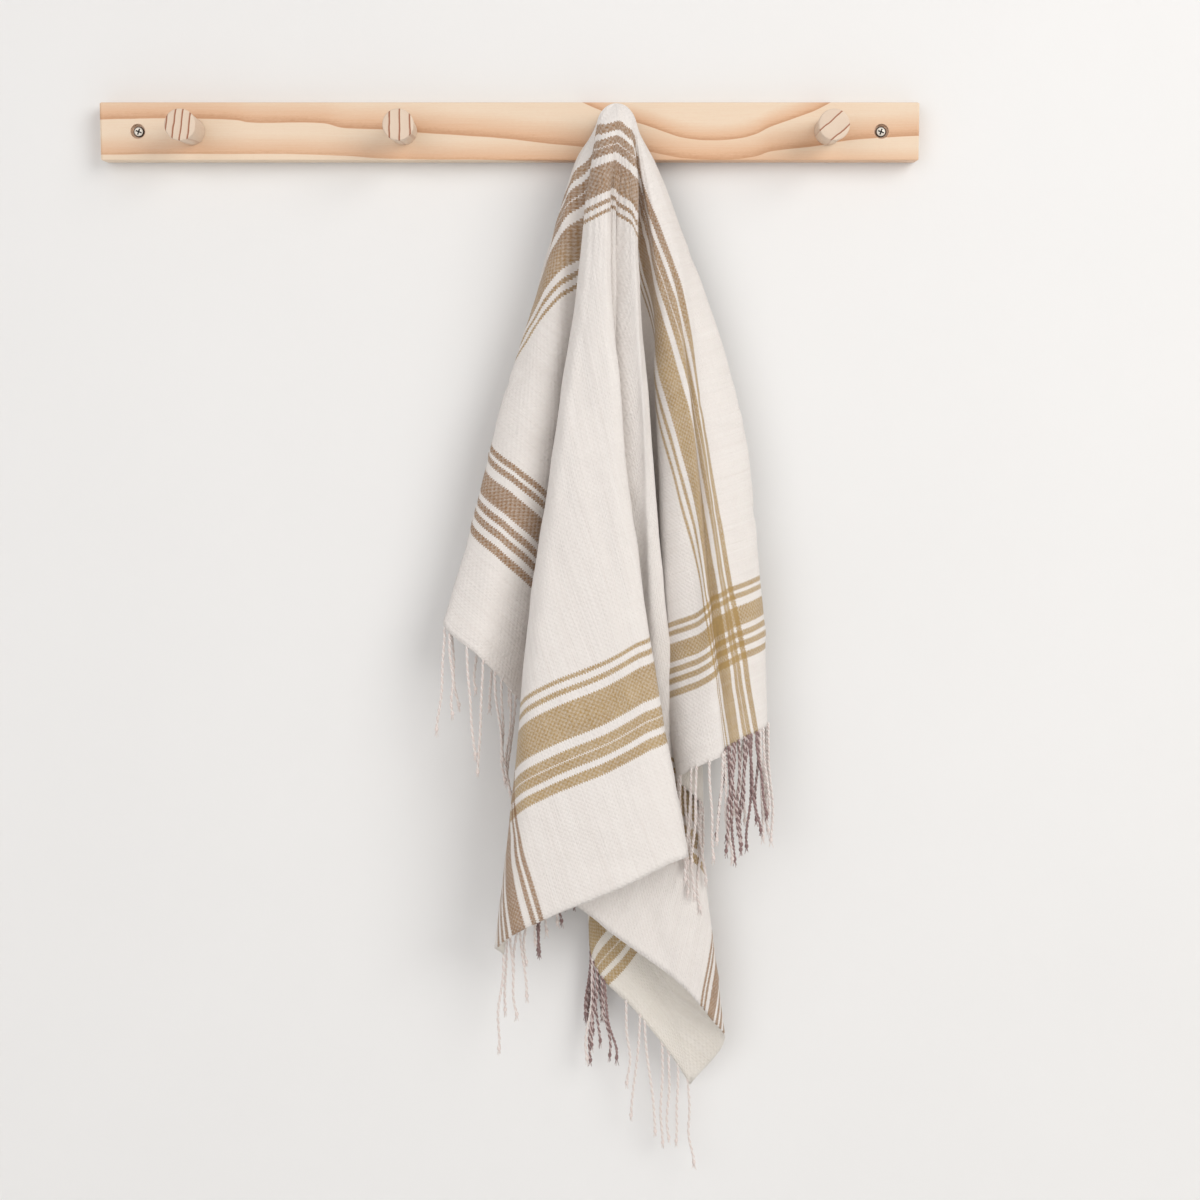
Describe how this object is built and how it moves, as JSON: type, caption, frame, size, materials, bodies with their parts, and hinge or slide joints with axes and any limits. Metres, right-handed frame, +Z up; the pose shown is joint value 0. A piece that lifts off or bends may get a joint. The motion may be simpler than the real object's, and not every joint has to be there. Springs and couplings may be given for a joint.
{
  "type": "hand towel on peg rail",
  "caption": "A handwoven cotton hand towel with tan stripes and knotted fringes, hung by one point from a turned peg on a short pine wall rail.",
  "frame": {"origin": "the middle of the rail's back face, where it lies on the wall", "axes": "+X along the rail to the right as seen from the room, +Y out of the rail's back into the wall, +Z up"},
  "size_m": [0.61, 0.0937, 0.8134],
  "materials": {
    "pine": "oiled, satin",
    "pine_pegs": "oiled, satin",
    "steel": "dull zinc plate",
    "cotton": "matt weave",
    "cotton_fringe": "matt twisted threads"
  },
  "bodies": {
    "root": {"rail": "pine", "peg_1": "pine_pegs", "peg_2": "pine_pegs", "peg_3": "pine_pegs", "peg_4": "pine_pegs", "screw_left": "steel", "screw_right": "steel", "towel": "cotton", "fringe_left_end": "cotton_fringe", "fringe_right_end": "cotton_fringe"}
  },
  "joints": []
}
